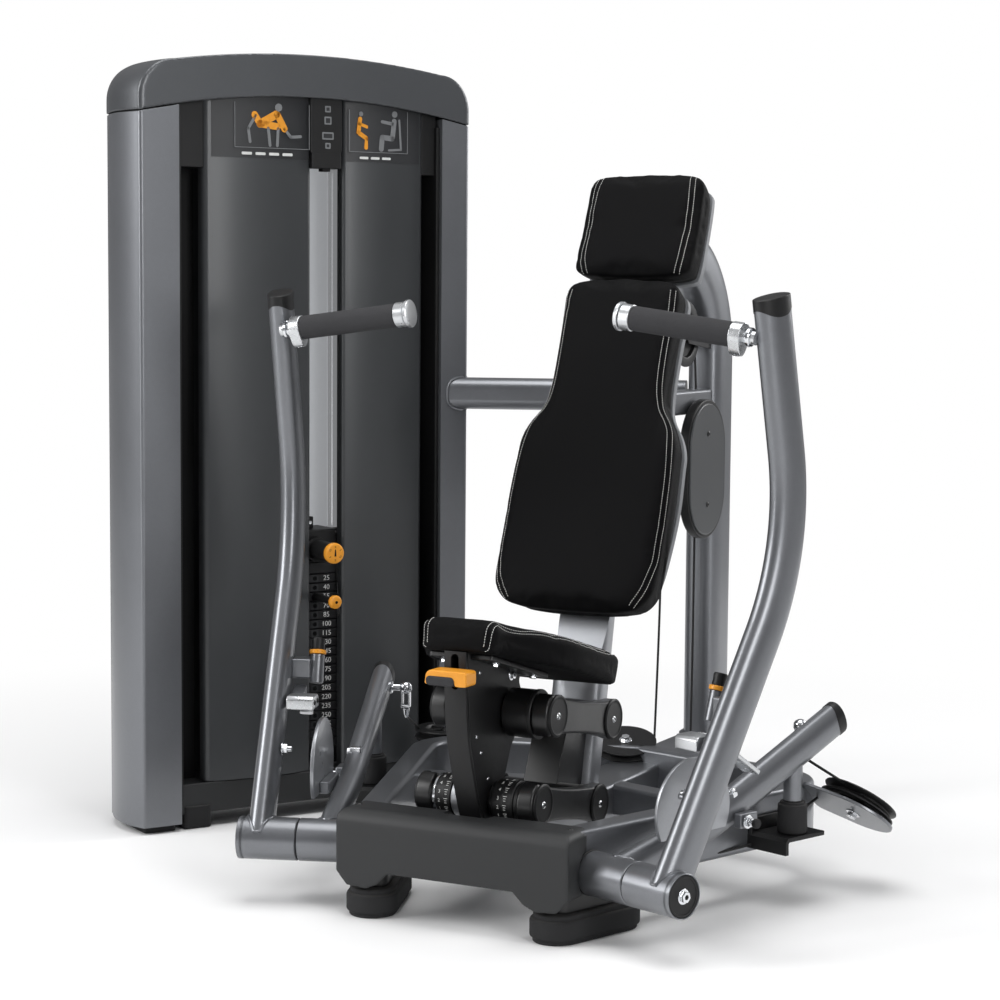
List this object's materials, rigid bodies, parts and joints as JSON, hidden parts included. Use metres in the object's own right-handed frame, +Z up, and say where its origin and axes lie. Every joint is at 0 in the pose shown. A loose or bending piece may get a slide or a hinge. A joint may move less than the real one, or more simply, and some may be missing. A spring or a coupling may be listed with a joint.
{
  "type": "chest press machine",
  "caption": "Selectorised converging chest press: weight tower with arched cap, splayed press arms with inward grips, linkage-raised seat, reclined back pad and head pad.",
  "frame": {"origin": "centre of the footprint box on the floor", "axes": "+Z up, +Y to the rear of the machine (the user faces -Y), +X to the user's left"},
  "size_m": [1.6048, 1.2204, 1.562],
  "materials": {
    "frame_metallic": "metallic grey powder coat, semi gloss",
    "cap_dark_metallic": "dark metallic grey",
    "bright_tube": "light metallic grey",
    "black_steel": "satin black",
    "moulded_black": "fine textured moulding",
    "shroud_grey": "smooth dark grey shroud",
    "foot_rubber": "matte moulded rubber",
    "grip_rubber": "dark grey foam rubber",
    "upholstery": "black vinyl leather with white stitching",
    "pad_board": "grey moulded board",
    "chrome_rod": "polished",
    "aluminium": "satin",
    "orange_plastic": "orange adjustment point"
  },
  "bodies": {
    "frame": {"back_board": "pad_board", "back_pad": "upholstery", "base_frame": "frame_metallic", "bumper_left": "foot_rubber", "bumper_right": "foot_rubber", "cross_beam": "frame_metallic", "foot_front_left": "foot_rubber", "foot_front_right": "foot_rubber", "foot_rear": "foot_rubber", "front_cover": "moulded_black", "guide_rod_front": "chrome_rod", "guide_rod_rear": "chrome_rod", "head_board": "pad_board", "head_pad": "upholstery", "pivot_shaft_left": "bright_tube", "pivot_shaft_right": "bright_tube", "pulley_guard": "shroud_grey", "rear_column": "frame_metallic", "seat_post": "bright_tube", "shroud_front": "shroud_grey", "shroud_outer": "shroud_grey", "shroud_rear": "shroud_grey", "tower_base": "moulded_black", "tower_cap": "cap_dark_metallic", "tower_head_plate": "black_steel", "tower_post_front": "frame_metallic", "tower_post_rear": "frame_metallic", "weight_plates_resting": "black_steel"},
    "lever_left": {"lever_left": "frame_metallic", "lever_cap_left": "moulded_black"},
    "lever_right": {"lever_right": "frame_metallic", "lever_cap_right": "moulded_black"},
    "stack": {"weight_plates_lifted": "black_steel", "stack_head": "black_steel", "stack_stem": "chrome_rod", "stack_belt": "foot_rubber"},
    "dial": {"increment_dial": "orange_plastic"},
    "selector": {"selector_pin": "orange_plastic"},
    "seat_lower_link": {"seat_link_lower": "black_steel"},
    "seat_upper_link": {"seat_link_upper": "black_steel"},
    "seat": {"seat_carriage": "shroud_grey", "seat_pad": "upholstery"},
    "seat_handle": {"seat_release": "orange_plastic"},
    "top_pulley": {"column_pulley": "moulded_black"},
    "pulley_left": {"cable_pulley_left": "moulded_black"},
    "pulley_right": {"cable_pulley_right": "moulded_black"},
    "arm_left": {"press_arm_left": "frame_metallic", "hub_cap_left": "moulded_black", "arm_cap_left": "moulded_black", "handle_left": "aluminium", "grip_left": "grip_rubber", "stop_bracket_left": "aluminium"},
    "pin_left": {"stop_pin_left": "orange_plastic"},
    "arm_right": {"press_arm_right": "frame_metallic", "hub_cap_right": "moulded_black", "arm_cap_right": "moulded_black", "handle_right": "aluminium", "grip_right": "grip_rubber", "stop_bracket_right": "aluminium"},
    "pin_right": {"stop_pin_right": "orange_plastic"}
  },
  "joints": [
    {"name": "press_left", "type": "hinge", "parent": "frame", "child": "lever_left", "pos_m": [0.65138, -0.57483, 0.115], "axis": [0.9397, -0.342, 0], "range_deg": [0, 32]},
    {"name": "press_right", "type": "hinge", "parent": "frame", "child": "lever_right", "pos_m": [-0.20862, -0.57483, 0.115], "axis": [0.9397, 0.342, 0], "range_deg": [0, 32]},
    {"name": "start_adjust_left", "type": "hinge", "parent": "lever_left", "child": "arm_left", "pos_m": [0.65138, -0.57483, 0.115], "axis": [0.9397, -0.342, 0], "range_deg": [-14, 0]},
    {"name": "start_adjust_right", "type": "hinge", "parent": "lever_right", "child": "arm_right", "pos_m": [-0.20862, -0.57483, 0.115], "axis": [0.9397, 0.342, 0], "range_deg": [-14, 0]},
    {"name": "stop_pin_left", "type": "slide", "parent": "arm_left", "child": "pin_left", "axis": [0.0953, 0.2617, 0.9604], "range_m": [0, 0.012]},
    {"name": "stop_pin_right", "type": "slide", "parent": "arm_right", "child": "pin_right", "axis": [-0.0953, 0.2617, 0.9604], "range_m": [0, 0.012]},
    {"name": "stack_lift", "type": "slide", "parent": "frame", "child": "stack", "axis": [0, 0, 1], "range_m": [0, 0.262], "deforming": ["stack_belt"]},
    {"name": "increment_dial_turn", "type": "hinge", "parent": "stack", "child": "dial", "pos_m": [-0.4771, 0.11139, 0.5517], "axis": [0.8526, -0.5225, 0], "range_deg": [0, 240]},
    {"name": "selector_pin_pull", "type": "slide", "parent": "stack", "child": "selector", "axis": [0.8526, -0.5225, 0], "range_m": [0, 0.055]},
    {"name": "seat_lower", "type": "hinge", "parent": "frame", "child": "seat_lower_link", "pos_m": [0.22138, -0.22983, 0.168], "axis": [-1, 0, 0], "range_deg": [0, 25]},
    {"name": "seat_upper", "type": "hinge", "parent": "frame", "child": "seat_upper_link", "pos_m": [0.22138, -0.17483, 0.314], "axis": [-1, 0, 0], "range_deg": [-1, 26]},
    {"name": "seat_level", "type": "hinge", "parent": "seat_lower_link", "child": "seat", "pos_m": [0.22138, -0.45983, 0.21], "axis": [-1, 0, 0], "range_deg": [-26, 1]},
    {"name": "seat_release_tilt", "type": "hinge", "parent": "seat", "child": "seat_handle", "pos_m": [0.22138, -0.56743, 0.454], "axis": [-1, 0, 0], "range_deg": [0, 12]},
    {"name": "column_pulley_turn", "type": "hinge", "parent": "frame", "child": "top_pulley", "pos_m": [0.22138, 0.39017, 1.005], "axis": [1, 0, 0], "range_deg": [-230, 0]},
    {"name": "cable_pulley_left_turn", "type": "hinge", "parent": "frame", "child": "pulley_left", "pos_m": [0.73038, 0.05217, 0.16], "axis": [0.2687, 0.5274, 0.806], "range_deg": [0, 250]},
    {"name": "cable_pulley_right_turn", "type": "hinge", "parent": "frame", "child": "pulley_right", "pos_m": [-0.21062, 0.20517, 0.177], "axis": [0, 0, 1], "range_deg": [-250, 0]}
  ],
  "couplings": [
    {"joint": "press_right", "follows": "press_left", "ratio": 1},
    {"joint": "stack_lift", "follows": "press_left", "m_per_rad": 0.46553},
    {"joint": "column_pulley_turn", "follows": "press_left", "ratio": -7.0312},
    {"joint": "cable_pulley_left_turn", "follows": "press_left", "ratio": 7.5},
    {"joint": "cable_pulley_right_turn", "follows": "press_left", "ratio": -7.5},
    {"joint": "seat_upper", "follows": "seat_lower", "ratio": 1},
    {"joint": "seat_level", "follows": "seat_lower", "ratio": -1}
  ]
}
